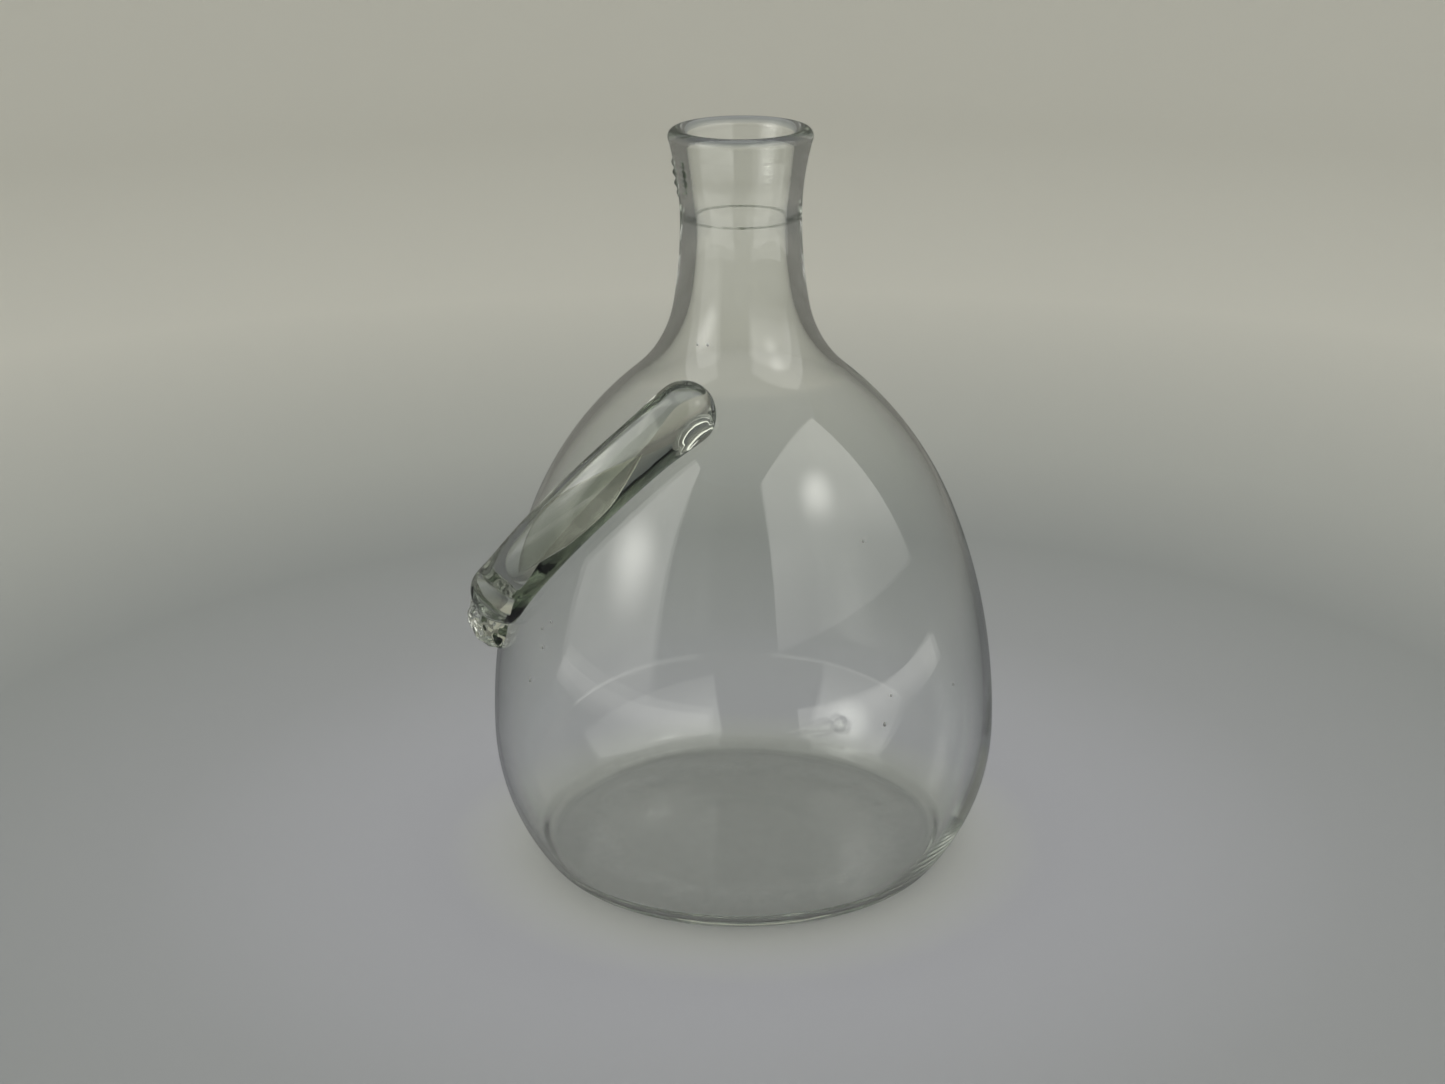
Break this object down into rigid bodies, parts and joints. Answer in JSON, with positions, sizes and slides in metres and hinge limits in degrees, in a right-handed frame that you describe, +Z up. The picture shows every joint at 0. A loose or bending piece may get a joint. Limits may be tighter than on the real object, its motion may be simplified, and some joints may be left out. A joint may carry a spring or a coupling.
{
  "type": "glass flask with side handle",
  "caption": "Flat-footed egg-shaped laboratory glass flask with a thick flared neck and a solid rod handle laid slantwise on its shoulder.",
  "frame": {"origin": "centre of the flat foot, on the flask axis, on the surface it stands on", "axes": "+Z up along the flask axis, +X right and -Y towards the front; the handle runs from the front shoulder down to the left side"},
  "size_m": [0.1284, 0.122, 0.1776],
  "materials": {
    "clear_glass": "gloss",
    "rod_glass": "gloss"
  },
  "bodies": {
    "root": {"bulb": "clear_glass", "neck_finish": "clear_glass", "handle_rod": "rod_glass", "handle_foot": "rod_glass"}
  },
  "joints": []
}
